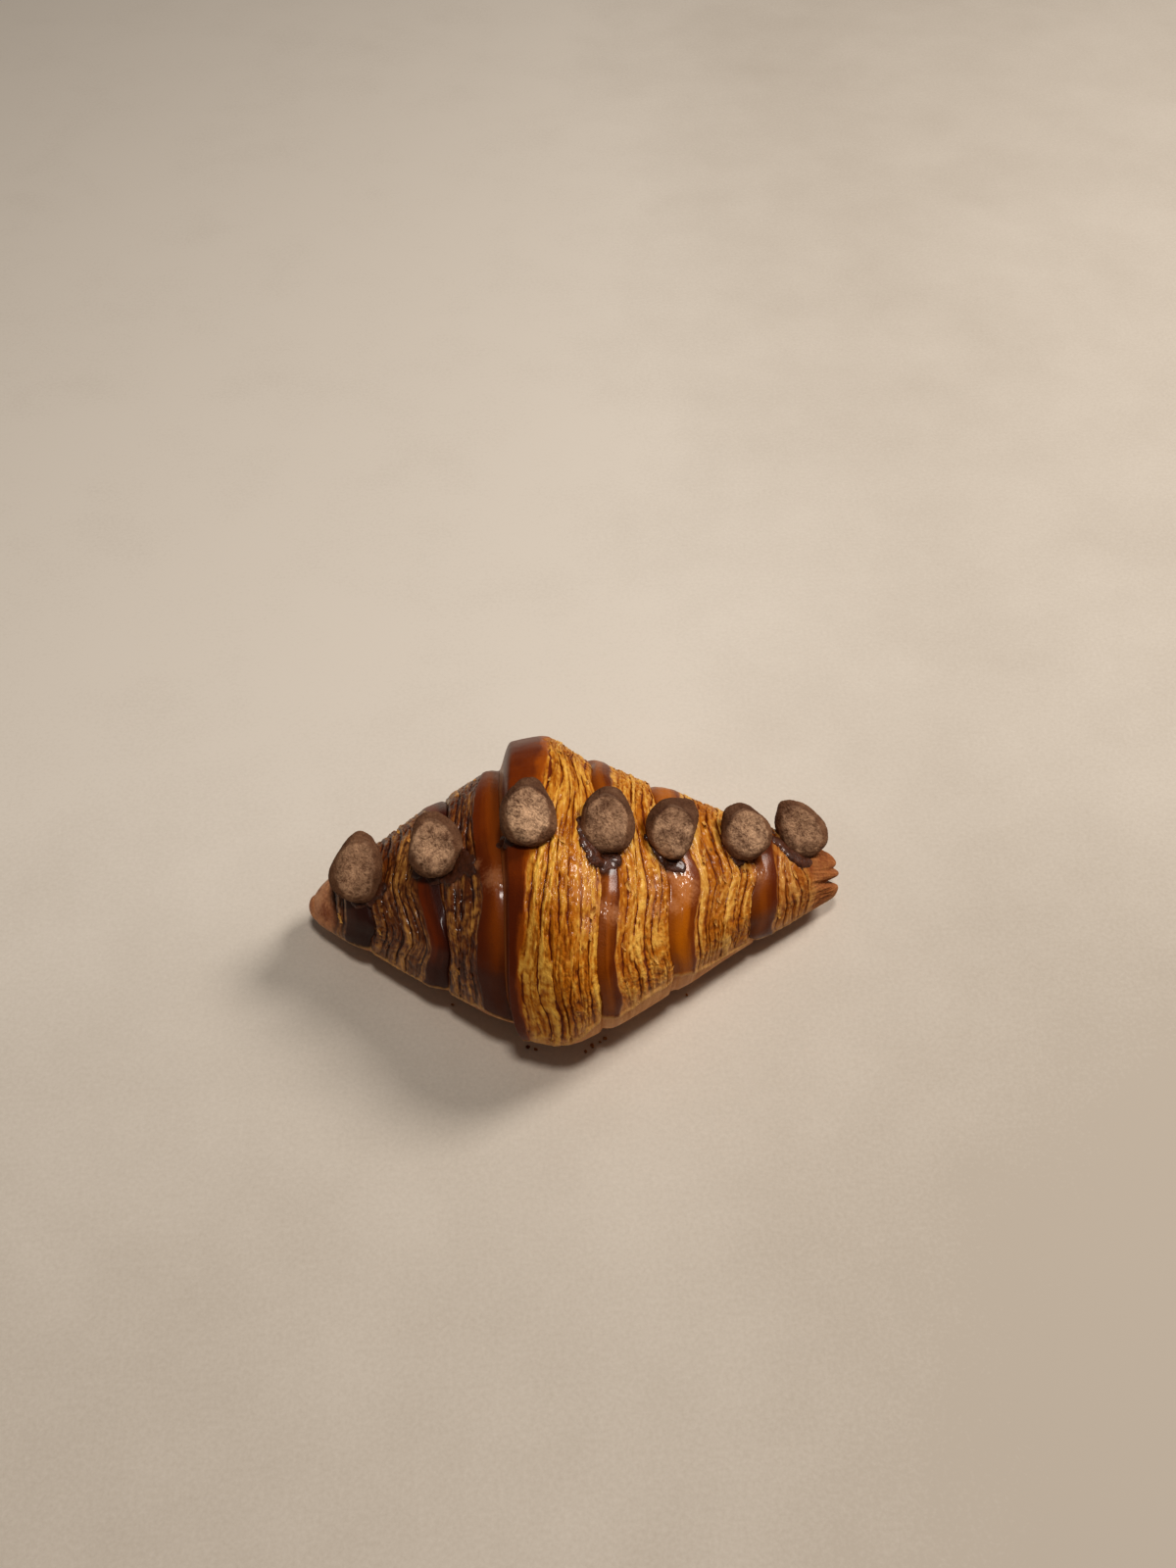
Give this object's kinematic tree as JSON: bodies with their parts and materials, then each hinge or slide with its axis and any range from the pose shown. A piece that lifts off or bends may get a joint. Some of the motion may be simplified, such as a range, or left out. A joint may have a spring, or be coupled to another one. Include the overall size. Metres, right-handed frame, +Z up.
{
  "type": "croissant",
  "caption": "Baked croissant, a tapering roll of layered dough with ringed turns, with cocoa-dusted chocolate nuggets set in a row along its ridge.",
  "frame": {"origin": "centre of the bounding box's underside, on the surface that the croissant rests on", "axes": "+X along the croissant from its narrow tip to its split tip, +Z up, -Y the side that its belly bulges towards"},
  "size_m": [0.161, 0.0996, 0.073],
  "materials": {
    "crust": "baked layered dough with a thin sugar glaze; the skins are dark and glossy, the cut layers paler and flaky",
    "cocoa": "dry cocoa powder over chocolate, matte and grainy",
    "chocolate": "set chocolate spread under the nuggets, dark and glossy",
    "flakes": "thin dry flakes and crumbs of baked dough"
  },
  "bodies": {
    "root": {"croissant": "crust", "nugget_1": "cocoa", "nugget_2": "cocoa", "nugget_3": "cocoa", "nugget_4": "cocoa", "nugget_5": "cocoa", "nugget_6": "cocoa", "nugget_7": "cocoa"}
  },
  "joints": []
}
